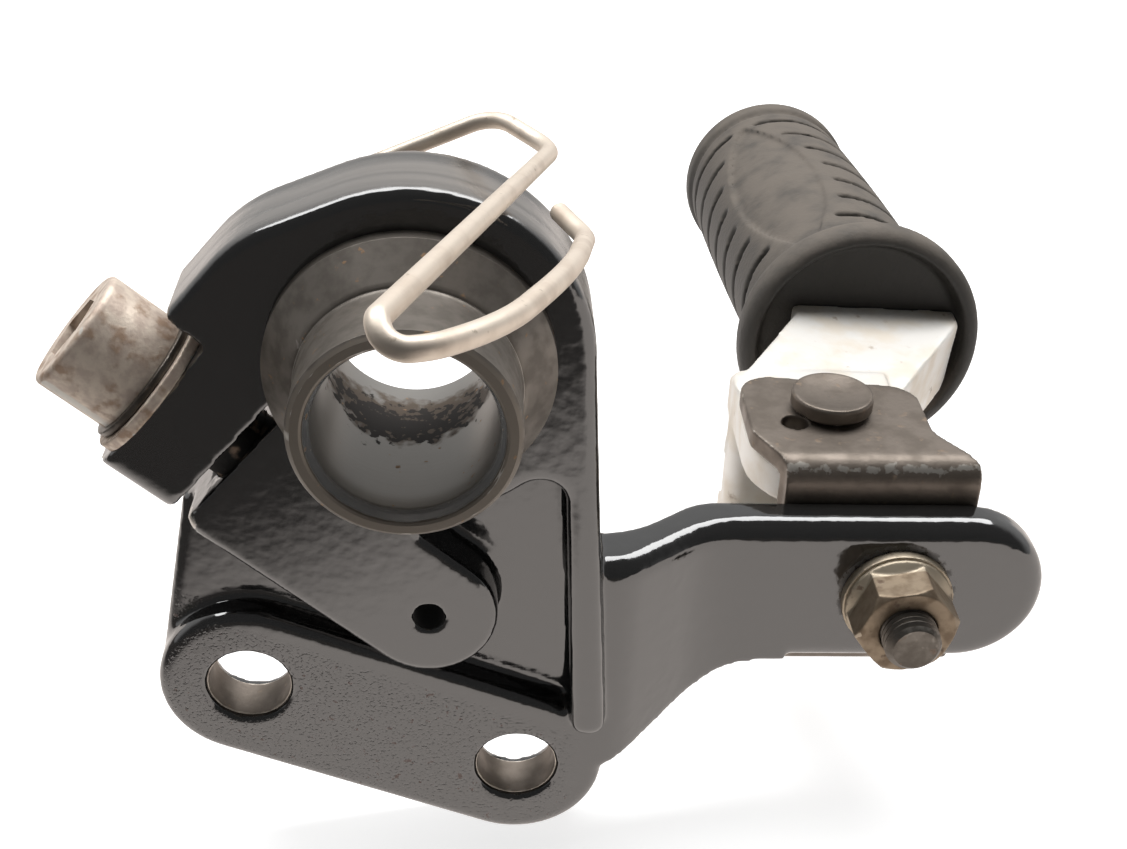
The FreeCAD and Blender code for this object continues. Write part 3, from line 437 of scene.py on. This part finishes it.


# places with a look of their own, in mm: a bright bore and mouth with brown grime in the bush, the pinch bolt
# near black where it runs through the split of the clamp, a paler washer under the nut, bright scuffs along
# the clevis fold that are also a painted highlight
spotLooks = {
    "oiled_steel": [
        {"centre": (0, 0, 0), "shape": (1, 0, 1), "outer": 11.75, "soft": 0.1, "ragged": 0.1, "break": 400,
         "change": {"color": (0.42, 0.42, 0.42), "roughness": 0.22}},
        {"centre": (0, 0, 0), "shape": (1, 0, 1), "outer": 10.85, "soft": 0.1, "ragged": 0.1, "break": 400,
         "change": {"color": (0.3, 0.286, 0.266), "roughness": 0.38}},
        {"centre": (0, -17, 0), "shape": (0, 1, 0), "outer": 0.5, "soft": 0.2, "ragged": 0.4, "break": 500,
         "change": {"color": (0.2, 0.172, 0.142), "roughness": 0.5, "metallic": 0.45}},
        {"centre": (0, 4.5, -10.7), "shape": (0.3, 1.0, 0.5), "outer": 5.6, "soft": 1.5, "ragged": 8.0,
         "break": 420, "change": {"color": (0.13, 0.1, 0.075), "roughness": 0.6, "metallic": 0.5}},
        {"centre": (-2, 3.5, -10.7), "shape": (0.35, 1.0, 0.5), "outer": 4.0, "soft": 0.7, "ragged": 15.0,
         "break": 800, "change": {"color": (0.022, 0.015, 0.011), "roughness": 0.7, "metallic": 0.0}},
    ],
    "worn_steel": [
        # near black on the pinch bolt where it runs through the split of the clamp
        {"centre": (-23.0, 6.75, -14.6), "outer": 8.0, "soft": 1.0, "ragged": 1.0, "break": 300,
         "change": {"color": (0.02, 0.018, 0.016), "roughness": 0.7, "metallic": 0.2}},
    ],
    "brown_plate": [
        {"centre": (68.4, 11.6, -43.9), "shape": (0.02, 1.0, 0.02), "outer": 2.2, "soft": 0.3, "ragged": 0.3,
         "break": 400, "change": {"color": (0.46, 0.395, 0.305), "roughness": 0.5}},
    ],
    "dark_oxide": [
        # bright scuffs on the fold, set mid-bend where the lamp shows: wear and painted highlight together
        {"centre": (66.0, 20.0, -26.6), "shape": (0.0, 1.0, 1.0), "outer": 0.7, "soft": 0.35, "ragged": 3.4,
         "break": 750, "change": {"color": (0.56, 0.525, 0.475), "roughness": 0.36}},
    ],
}


# moulded rubber, dusty where it faces up
rubber = {
    "color": (0.045, 0.042, 0.038), "roughness": 0.55,
    "dust": (0.17, 0.147, 0.124), "dustRoughness": 0.85, "dustFacing": (0.0, 0.85),
    "dustClouds": {"Scale": 170.0, "Detail": 7.0, "Low": 0.05, "High": 0.62},
    "corner": (0.014, 0.013, 0.012), "cornerRange": (0.47, 0.4),
    "grain": {"Scale": 1300.0, "Detail": 4.0, "Low": 0.3, "High": 0.7}, "grainDepth": 0.03 * mm,
}


def makeRubber():
    material, tree, shader = newMaterial("blackRubber", rubber["color"], rubber["roughness"])
    layers = {"color": rubber["color"], "roughness": rubber["roughness"], "metallic": 0.0}
    facing = addNode(tree, "ShaderNodeNewGeometry").outputs["Normal"]
    upward = gradient(tree, facing, (0, 0, 1), *rubber["dustFacing"]).outputs["Result"]
    dustMask = multiply(tree, upward, clouds(tree, **rubber["dustClouds"]))
    addLayer(tree, layers, dustMask, color=rubber["dust"], roughness=rubber["dustRoughness"])
    start, full = rubber["cornerRange"]
    edges = useGroup(tree, edgeWear, Dirt_Start=start, Dirt_Full=full)
    addLayer(tree, layers, edges.outputs["Hollows"], color=rubber["corner"])
    connect(tree, shader, layers)
    addBump(tree, shader, clouds(tree, **rubber["grain"]), rubber["grainDepth"])
    return material


finishes = {"black_paint": makeBlackPaint(), "black_rubber": makeRubber()}
for lookName, look in metals.items():
    words = lookName.split("_")
    finishes[lookName] = makeMetal(words[0] + words[1].capitalize(), look, spotLooks.get(lookName, ()))

# the record's slots, and the two fasteners that are darker than their slot
nodeSlots = {
    "hanger_casting": "black_paint", "bush": "oiled_steel", "pinch_bolt": "worn_steel",
    "pinch_flat_washer": "worn_steel", "pinch_lock_washer": "worn_steel",
    "wire_guide": "spring_wire", "clevis": "dark_oxide", "clevis_bolt": "worn_steel",
    "nut_washer": "brown_plate", "flange_nut": "brown_plate", "pivot_pin": "dark_oxide",
    "pin_washer": "worn_steel", "split_pin": "worn_steel", "peg_base": "bare_steel",
    "peg_rubber": "black_rubber", "detent_ball": "bare_steel", "detent_spring": "worn_steel",
}
otherLooks = {"pinch_lock_washer": "bolt_oxide", "clevis_bolt": "bolt_oxide"}
for nodeName, slotName in nodeSlots.items():
    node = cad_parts[nodeName]
    node.data.materials.clear()
    node.data.materials.append(finishes[otherLooks.get(nodeName, slotName)])
print("finishes set on", len(nodeSlots), "nodes")


# paint, moulding and wear soften the edges of these solids, voxels in mm
softEdges = {
    "hanger_casting": {"voxel": 0.5, "passes": 6},
    "peg_rubber": {"voxel": 0.47, "passes": 2},
    "clevis": {"voxel": 0.34, "passes": 3},
    "peg_base": {"voxel": 0.4, "passes": 9},
    "flange_nut": {"voxel": 0.2, "passes": 2},
    "nut_washer": {"voxel": 0.2, "passes": 2},
    "pinch_flat_washer": {"voxel": 0.22, "passes": 2},
    "pinch_lock_washer": {"voxel": 0.2, "passes": 2},
}
softening = {"weld": 0.002, "share": 0.5}
for nodeName, how in softEdges.items():
    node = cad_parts[nodeName]
    weld = node.modifiers.new("weld", "WELD")
    weld.merge_threshold = softening["weld"] * mm
    remesh = node.modifiers.new("skin", "REMESH")
    remesh.mode = "VOXEL"
    remesh.voxel_size = how["voxel"] * mm
    remesh.use_smooth_shade = True
    smooth = node.modifiers.new("soften", "SMOOTH")
    smooth.factor = softening["share"]
    smooth.iterations = how["passes"]
print("edges softened on", len(softEdges), "nodes")


# new pieces: merge distance in mm, angles in degrees
making = {"merge": 0.001, "sharpFrom": 32, "bevelFrom": 25, "bevelSegments": 3}


def addProfile(bm, points, closed=False):
    verts = [bm.verts.new((r * mm, y * mm, 0)) for r, y in points]
    edges = [bm.edges.new(pair) for pair in zip(verts, verts[1:])]
    if closed:
        edges.append(bm.edges.new((verts[-1], verts[0])))
    return verts + edges


def spinProfile(points, steps, closed=False, cuts=0):
    bm = bmesh.new()
    geom = addProfile(bm, points, closed)
    if cuts:  # short faces keep the worn edges narrow
        bmesh.ops.subdivide_edges(bm, edges=bm.edges[:], cuts=cuts)
        geom = bm.verts[:] + bm.edges[:]
    bmesh.ops.spin(
        bm, geom=geom, cent=(0, 0, 0), axis=(0, 1, 0), dvec=(0, 0, 0), angle=2 * math.pi, steps=steps,
        use_merge=True, use_duplicate=False,
    )
    bmesh.ops.remove_doubles(bm, verts=bm.verts, dist=making["merge"] * mm)
    bmesh.ops.recalc_face_normals(bm, faces=bm.faces)
    return bm


def placePiece(bm, name, body, slotName, at, replaced=None, upright=False, look=None):
    if upright:  # from along Y to along Z
        turn = Matrix.Rotation(math.pi / 2, 3, "X")
        bmesh.ops.rotate(bm, verts=bm.verts, cent=(0, 0, 0), matrix=turn)
    bmesh.ops.translate(bm, verts=bm.verts, vec=Vector(at) * mm)
    mesh = bpy.data.meshes.new(name)
    bm.to_mesh(mesh)
    bm.free()
    mesh.shade_smooth()
    mesh.set_sharp_from_angle(angle=math.radians(making["sharpFrom"]))
    mesh.materials.append(finishes[look or slotName])
    piece = bpy.data.objects.new(name, mesh)
    bpy.context.scene.collection.objects.link(piece)
    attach(piece, body)
    if replaced:
        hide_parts(replaced)
    return piece


def addBevel(piece, width):
    bevel = piece.modifiers.new("edgeRound", "BEVEL")
    bevel.width = width * mm
    bevel.segments = making["bevelSegments"]
    bevel.limit_method = "ANGLE"
    bevel.angle_limit = math.radians(making["bevelFrom"])
    bevel.harden_normals = True


# flanged bush turned from bar, radii and depths in mm from the ring's front face
bush = {
    "bore": 10.7, "front": -17.0, "back": 14.0, "backChamfer": 1.0, "neck": 13.4, "fillet": 0.5, "cone": 13.8,
    "coneFront": -6.4, "flange": 17.7, "flangeEdge": -2.0, "fit": 15.45, "mouth": 11.5, "mouthDepth": 1.3,
    "lead": 0.26, "leadDepth": 0.9, "rimRound": 0.3, "edge": 0.28, "steps": 180, "cuts": 9,
}


def makeBush():
    b = bush
    rim = b["rimRound"]
    chamfer = b["backChamfer"]
    mouthEnd = b["front"] + b["mouthDepth"]
    filletRise = b["fillet"] / 4
    profile = [
        (b["bore"], mouthEnd + b["leadDepth"]), (b["bore"] + b["lead"], mouthEnd),
        (b["mouth"], b["front"] + rim / 2), (b["mouth"] + rim, b["front"]),
        (b["neck"] - 2 * rim, b["front"]), (b["neck"], b["front"] + 2 * rim),
        (b["neck"], b["coneFront"] - b["fillet"]), (b["neck"] + filletRise, b["coneFront"] - filletRise),
        (b["cone"], b["coneFront"]), (b["flange"], b["flangeEdge"]), (b["flange"], 0.0), (b["fit"], 0.0),
        (b["fit"], b["back"] - chamfer), (b["fit"] - chamfer, b["back"]),
        (b["bore"] + chamfer, b["back"]), (b["bore"], b["back"] - chamfer),
    ]
    bm = spinProfile(profile, b["steps"], closed=True, cuts=b["cuts"])
    piece = placePiece(bm, "turnedBush", "hanger", "oiled_steel", (0, 0, 0), "bush")
    addBevel(piece, b["edge"])


# clevis bolt with its thread, in mm along the bolt from the arm's front face
boltThread = {
    "place": (68.4, 13.0, -43.9), "crest": 3.95, "root": 3.4, "pitch": 1.0, "turns": 10, "steps": 48,
    "form": (0, 3, 4.5, 7.5, 8), "tip": -12.0, "tipChamfer": 0.55, "threadEnd": -3.0, "merge": 0.002,
    "shank": 3.9, "shankOverlap": 1.0, "shankSteps": 64, "headFront": 9.3, "headBack": 14.6, "flats": 13.0,
    "headEdge": 0.4,
}


def makeThread():
    t = boltThread
    bm = bmesh.new()
    start = t["tip"] - t["pitch"]
    levels = [start + eighths * t["pitch"] / 8 for eighths in t["form"]]  # root, crest, crest, root, root
    radii = [t["root"], t["crest"], t["crest"], t["root"], t["root"]]
    geom = addProfile(bm, list(zip(radii, levels)))
    bmesh.ops.spin(
        bm, geom=geom, cent=(0, 0, 0), axis=(0, 1, 0), dvec=(0, t["pitch"] * mm / t["steps"], 0),
        angle=2 * math.pi * t["turns"], steps=t["steps"] * t["turns"], use_merge=False, use_duplicate=False,
    )
    bmesh.ops.remove_doubles(bm, verts=bm.verts, dist=t["merge"] * mm)
    near = making["merge"] * mm
    for level, side in ((t["tip"] + t["tipChamfer"], -1), (t["threadEnd"], 1)):
        everything = bm.verts[:] + bm.edges[:] + bm.faces[:]
        bmesh.ops.bisect_plane(
            bm, geom=everything, dist=near / 10, plane_co=(0, level * mm, 0), plane_no=(0, side, 0),
            clear_outer=True,
        )
        rim = [e for e in bm.edges if e.is_boundary and all(abs(v.co.y - level * mm) < near for v in e.verts)]
        cap = bmesh.ops.edgeloop_fill(bm, edges=rim)["faces"]
        if side < 0:  # the tip narrows to a chamfered end
            chamfer = t["tipChamfer"] * mm
            bmesh.ops.recalc_face_normals(bm, faces=bm.faces)
            bmesh.ops.inset_individual(bm, faces=cap, thickness=chamfer, depth=chamfer, use_even_offset=False)
    bmesh.ops.recalc_face_normals(bm, faces=bm.faces)
    placePiece(bm, "boltThread", "hanger", "worn_steel", t["place"], "clevis_bolt", look="bolt_oxide")


def makeBoltHead():
    t = boltThread
    corner = t["flats"] / 2 / math.cos(math.pi / 6)
    shankFront = t["threadEnd"] - t["shankOverlap"]
    shank = [(0, shankFront), (t["shank"], shankFront), (t["shank"], t["headFront"]), (0, t["headFront"])]
    bm = spinProfile(shank, t["shankSteps"])
    made = bmesh.ops.create_circle(bm, cap_ends=True, segments=6, radius=corner * mm)
    turn = Matrix.Rotation(-math.pi / 2, 3, "X")
    bmesh.ops.rotate(bm, verts=made["verts"], cent=(0, 0, 0), matrix=turn)
    bmesh.ops.translate(bm, verts=made["verts"], vec=(0, t["headFront"] * mm, 0))
    face = made["verts"][0].link_faces[0]
    top = bmesh.ops.extrude_face_region(bm, geom=[face], use_keep_orig=True)["geom"]
    raised = [v for v in top if isinstance(v, bmesh.types.BMVert)]
    bmesh.ops.translate(bm, verts=raised, vec=(0, (t["headBack"] - t["headFront"]) * mm, 0))
    bmesh.ops.recalc_face_normals(bm, faces=bm.faces)
    piece = placePiece(bm, "boltHead", "hanger", "worn_steel", t["place"], look="bolt_oxide")
    addBevel(piece, t["headEdge"])


# pivot pin with a dished head, in mm
pivotPin = {
    "place": (60.8, 35.0, 0.0), "top": -22.7, "under": -25.1, "earTop": -25.8, "foot": -68.8,
    "footChamfer": 0.7, "head": 6.1, "shoulder": 5.0, "pin": 4.0, "dish": 0.3, "rim": 0.8, "edge": 0.18,
    "steps": 96,
}


def makePivotPin():
    p = pivotPin
    rim = p["rim"]
    chamfer = p["footChamfer"]
    profile = [
        (0, p["top"] - p["dish"]), (p["head"] - 2 * rim, p["top"] - p["dish"]),
        (p["head"] - rim, p["top"]), (p["head"] - rim / 3, p["top"]),
        (p["head"], p["top"] - rim / 2), (p["head"], p["under"] + rim / 3),
        (p["head"] - rim / 3, p["under"]), (p["shoulder"], p["under"]),
        (p["shoulder"], p["earTop"]), (p["pin"], p["earTop"]),
        (p["pin"], p["foot"] + chamfer), (p["pin"] - chamfer, p["foot"]), (0, p["foot"]),
    ]
    bm = spinProfile(profile, p["steps"])
    piece = placePiece(bm, "dishedPivotPin", "hanger", "dark_oxide", p["place"], "pivot_pin", upright=True)
    addBevel(piece, p["edge"])


# bent wire from its root in the casting to its free end, in mm
wire = {
    "corners": [(-8.5, 8.5, 16.6), (-8.5, 19.5, 16.6), (9.8, 18.0, 25.2), (16.6, 8.9, 24.3),
                (0.3, -62.7, 38.35), (1.15, -65.2, 37.0), (4.6, -63.9, 36.7), (10.0, -57.2, 35.1),
                (16.6, -38.0, 31.2), (19.0, -18.5, 25.4), (16.4, -11.6, 25.4)],
    "bends": [3.0, 6.5, 6.5, 1.8, 2.0, 5.5, 38.0, 90.0, 6.0],
    "radius": 1.05, "edge": 0.3, "steps": 28, "bendSteps": 12,
}


def makeWire():
    corners = [Vector(c) * mm for c in wire["corners"]]
    bm = bmesh.new()
    made = bmesh.ops.create_circle(bm, segments=wire["steps"], radius=wire["radius"] * mm)["verts"]
    along = (corners[1] - corners[0]).normalized()
    bmesh.ops.rotate(bm, verts=made, cent=(0, 0, 0), matrix=along.to_track_quat("Z", "Y").to_matrix())
    bmesh.ops.translate(bm, verts=made, vec=corners[0])
    ring = bm.edges[:]
    bmesh.ops.edgeloop_fill(bm, edges=ring)
    tip = corners[0]

    def pushRing(move):
        geom = bmesh.ops.extrude_edge_only(bm, edges=ring)["geom"]
        fresh = {v for v in geom if isinstance(v, bmesh.types.BMVert)}
        bmesh.ops.translate(bm, verts=list(fresh), vec=move)
        return [e for e in geom if isinstance(e, bmesh.types.BMEdge) and set(e.verts) <= fresh]

    for corner, after, bend in zip(corners[1:], corners[2:], wire["bends"]):
        along = (corner - tip).normalized()
        onward = (after - corner).normalized()
        angle = along.angle(onward)
        reach = bend * mm * math.tan(angle / 2)
        ring = pushRing(corner - along * reach - tip)
        axis = along.cross(onward).normalized()
        centre = corner - along * reach + axis.cross(along) * bend * mm
        spun = bmesh.ops.spin(
            bm, geom=ring, cent=centre, axis=axis, dvec=(0, 0, 0), angle=angle, steps=wire["bendSteps"],
            use_merge=False, use_duplicate=False,
        )["geom_last"]
        ring = [e for e in spun if isinstance(e, bmesh.types.BMEdge)]
        tip = corner + onward * reach
    ring = pushRing(corners[-1] - tip)
    bmesh.ops.edgeloop_fill(bm, edges=ring)
    bmesh.ops.recalc_face_normals(bm, faces=bm.faces)
    piece = placePiece(bm, "bentWire", "hanger", "spring_wire", (0, 0, 0), "wire_guide")
    addBevel(piece, wire["edge"])


# turned ridges inside the two mounting holes, in mm
holeRidges = {
    "places": [(-22.9, 0.0, -52.6), (14.291, 0.0, -67.325)], "bore": 5.66, "ridge": 0.08, "pitch": 0.6,
    "valleyAt": 0.1, "crestAt": 0.55, "front": 3.9, "back": 10.9, "wall": 0.35, "steps": 96,
}


def makeHoleRidges():
    h = holeRidges
    count = int((h["back"] - h["front"]) / h["pitch"])
    for number, place in enumerate(h["places"]):
        profile = [(h["bore"] + h["wall"], h["front"])]
        for i in range(count):
            level = h["front"] + i * h["pitch"]
            profile.append((h["bore"], level + h["valleyAt"] * h["pitch"]))
            profile.append((h["bore"] - h["ridge"], level + h["crestAt"] * h["pitch"]))
        profile.append((h["bore"] + h["wall"], h["front"] + count * h["pitch"]))
        bm = spinProfile(profile, h["steps"], closed=True)
        placePiece(bm, "holeRidges" + str(number + 1), "hanger", "dark_oxide", place)


makeBush()
makeThread()
makeBoltHead()
makePivotPin()
makeWire()
makeHoleRidges()
print("bush, bolt thread, pivot pin, wire and hole ridges modelled")


# floor, light and camera, in metres
studio = {
    "floorSize": 4.0, "floorDrop": 0.3 * mm, "floorColor": 0.86, "floorRoughness": 0.9, "shownGlow": 0.74,
    "tableGlow": (1.0, 0.92, 0.865), "tableLight": 1.2, "tableDirection": (0.9, 1, 0),
    "tableDark": -0.125, "tableBright": -0.06,
    "lamp": 3.8, "lampSize": (0.9, 0.23), "lampPlace": (0.02, 0.18, 0.45), "lampTarget": (0.05, 0.02, -0.03),
    "surround": 0.78, "shade": 0.12, "shadeSide": (0.0, -0.87, 0.5), "shadeFade": (-0.1, 0.42),
}


def makeFloor():
    mesh = bpy.data.meshes.new("floor")
    bm = bmesh.new()
    bmesh.ops.create_grid(bm, x_segments=1, y_segments=1, size=studio["floorSize"])
    bmesh.ops.translate(bm, verts=bm.verts, vec=Vector((0, 0, cadLow.z - studio["floorDrop"])))
    bm.to_mesh(mesh)
    bm.free()
    floor = bpy.data.objects.new("floor", mesh)
    bpy.context.scene.collection.objects.link(floor)
    level = studio["floorColor"]
    material, tree, shader = newMaterial("floorWhite", (level, level, level), studio["floorRoughness"])
    setInputs(shader, Specular_IOR_Level=0.0)
    path = addNode(tree, "ShaderNodeLightPath")
    shown = setInputs(addNode(tree, "ShaderNodeEmission"), Color=(1, 1, 1, 1))
    share = addNode(tree, "ShaderNodeMath", operation="MULTIPLY")
    share.inputs[1].default_value = studio["shownGlow"]
    lit = addNode(tree, "ShaderNodeAddShader")
    tree.links.new(path.outputs["Is Camera Ray"], share.inputs[0])
    tree.links.new(share.outputs["Value"], shown.inputs["Strength"])
    tree.links.new(shader.outputs["BSDF"], lit.inputs[0])
    tree.links.new(shown.outputs["Emission"], lit.inputs[1])
    # gloss sees a white table that fades toward the front left
    place = addNode(tree, "ShaderNodeTexCoord")
    limits = studio["tableDark"], studio["tableBright"]
    fade = gradient(tree, place.outputs["Object"], studio["tableDirection"], *limits)
    setInputs(fade, To_Min=studio["shade"], To_Max=studio["tableLight"])
    mirrored = setInputs(addNode(tree, "ShaderNodeEmission"), Color=(*studio["tableGlow"], 1))
    tree.links.new(fade.outputs["Result"], mirrored.inputs["Strength"])
    mix = addNode(tree, "ShaderNodeMixShader")
    tree.links.new(path.outputs["Is Glossy Ray"], mix.inputs["Fac"])
    tree.links.new(lit.outputs["Shader"], mix.inputs[1])
    tree.links.new(mirrored.outputs["Emission"], mix.inputs[2])
    tree.links.new(mix.outputs["Shader"], tree.nodes["Material Output"].inputs["Surface"])
    mesh.materials.append(material)


# white all round, dark only on the side where the camera stands
def makeSurround():
    world = bpy.data.worlds.new("studioSurround")
    bpy.context.scene.world = world
    world.use_nodes = True
    tree = world.node_tree
    tree.nodes.clear()
    out = addNode(tree, "ShaderNodeOutputWorld")
    shown = setInputs(addNode(tree, "ShaderNodeBackground"), Color=(1, 1, 1, 1), Strength=1.0)
    light = addNode(tree, "ShaderNodeBackground")
    path = addNode(tree, "ShaderNodeLightPath")
    mix = addNode(tree, "ShaderNodeMixShader")
    place = addNode(tree, "ShaderNodeTexCoord")
    fade = gradient(tree, place.outputs["Generated"], studio["shadeSide"], *studio["shadeFade"])
    setInputs(fade, To_Min=studio["surround"], To_Max=studio["shade"])
    tree.links.new(fade.outputs["Result"], light.inputs["Strength"])
    tree.links.new(path.outputs["Is Camera Ray"], mix.inputs["Fac"])
    tree.links.new(light.outputs["Background"], mix.inputs[1])
    tree.links.new(shown.outputs["Background"], mix.inputs[2])
    tree.links.new(mix.outputs["Shader"], out.inputs["Surface"])


def makeLamp(name, place, target, power, size):
    data = bpy.data.lights.new(name, "AREA")
    data.energy = power
    data.shape = "RECTANGLE"
    data.size, data.size_y = size
    lamp = bpy.data.objects.new(name, data)
    bpy.context.scene.collection.objects.link(lamp)
    lamp.location = place
    lamp.rotation_mode = "QUATERNION"
    lamp.rotation_quaternion = (Vector(target) - Vector(place)).to_track_quat("-Z", "Y")


# where the photograph was taken from, in mm, radians and pixels, sight limits in metres
camera = {
    "place": (7.77959, -170.62098, 93.83619), "turn": 0.06413, "dip": 0.53743, "roll": 0.04475,
    "focus": 1610.41485, "imageWidth": 1127, "sensor": 36.0, "nearest": 0.001, "farthest": 50.0,
}


def makeCamera():
    data = bpy.data.cameras.new("photoCamera")
    data.sensor_width = camera["sensor"]
    data.lens = camera["focus"] * camera["sensor"] / camera["imageWidth"]
    data.clip_start = camera["nearest"]
    data.clip_end = camera["farthest"]
    turn, dip, roll = camera["turn"], camera["dip"], camera["roll"]
    ahead = Vector((math.sin(turn) * math.cos(dip), math.cos(turn) * math.cos(dip), -math.sin(dip)))
    right = Vector((math.cos(turn), -math.sin(turn), 0))
    up = right.cross(ahead)
    rightRolled = math.cos(roll) * right + math.sin(roll) * up
    upRolled = -math.sin(roll) * right + math.cos(roll) * up
    view = Matrix((rightRolled, upRolled, -ahead)).transposed().to_4x4()
    view.translation = Vector(camera["place"]) * mm
    eye = bpy.data.objects.new("photoCamera", data)
    bpy.context.scene.collection.objects.link(eye)
    eye.matrix_world = view
    bpy.context.scene.camera = eye


makeFloor()
makeSurround()
makeLamp("overhead", studio["lampPlace"], studio["lampTarget"], studio["lamp"], studio["lampSize"])
makeCamera()
bpy.context.scene.view_settings.view_transform = "Standard"
print("studio ready")
